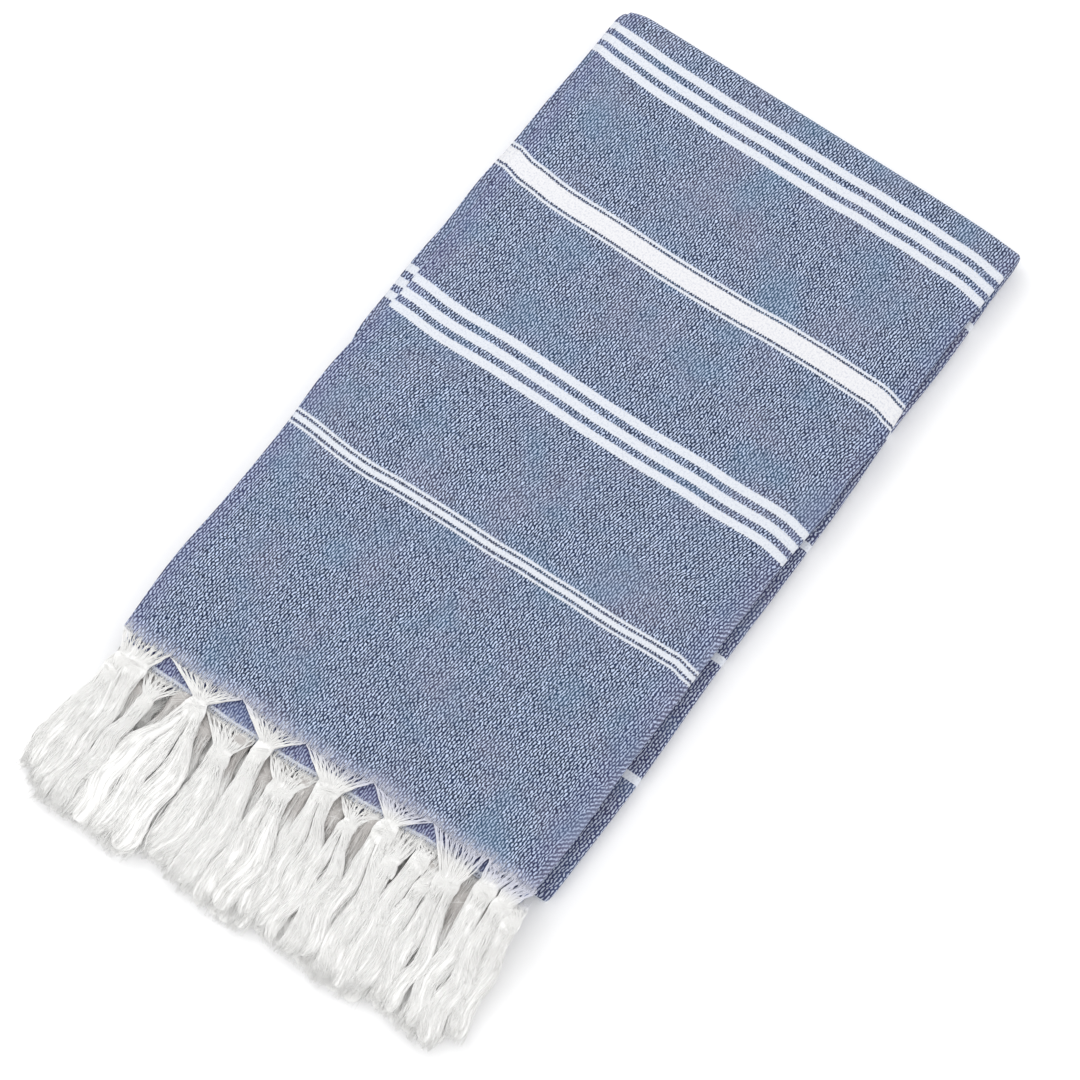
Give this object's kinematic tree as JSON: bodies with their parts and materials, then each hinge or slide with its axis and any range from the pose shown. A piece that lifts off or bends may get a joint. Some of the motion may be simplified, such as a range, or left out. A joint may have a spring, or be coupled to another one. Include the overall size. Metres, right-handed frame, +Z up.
{
  "type": "folded hammam towel",
  "caption": "Flat-woven cotton hammam towel with woven stripes, folded into a rectangular pad with its knotted tassel fringe at one end.",
  "frame": {"origin": "on the surface that the towel lies on, under the middle of its outline, fringe included", "axes": "+Z up; +Y along the folded pad, from the fringe to the folded end; +X across it, from the free edges of the cloth to the folded edge"},
  "size_m": [0.251, 0.5244, 0.0223],
  "materials": {
    "blue_weave": "blue and white plain weave, matte",
    "white_yarn": "soft white cotton yarn, matte"
  },
  "bodies": {
    "root": {"cloth": "blue_weave", "fringe_upper": "white_yarn", "fringe_lower": "white_yarn"}
  },
  "joints": []
}
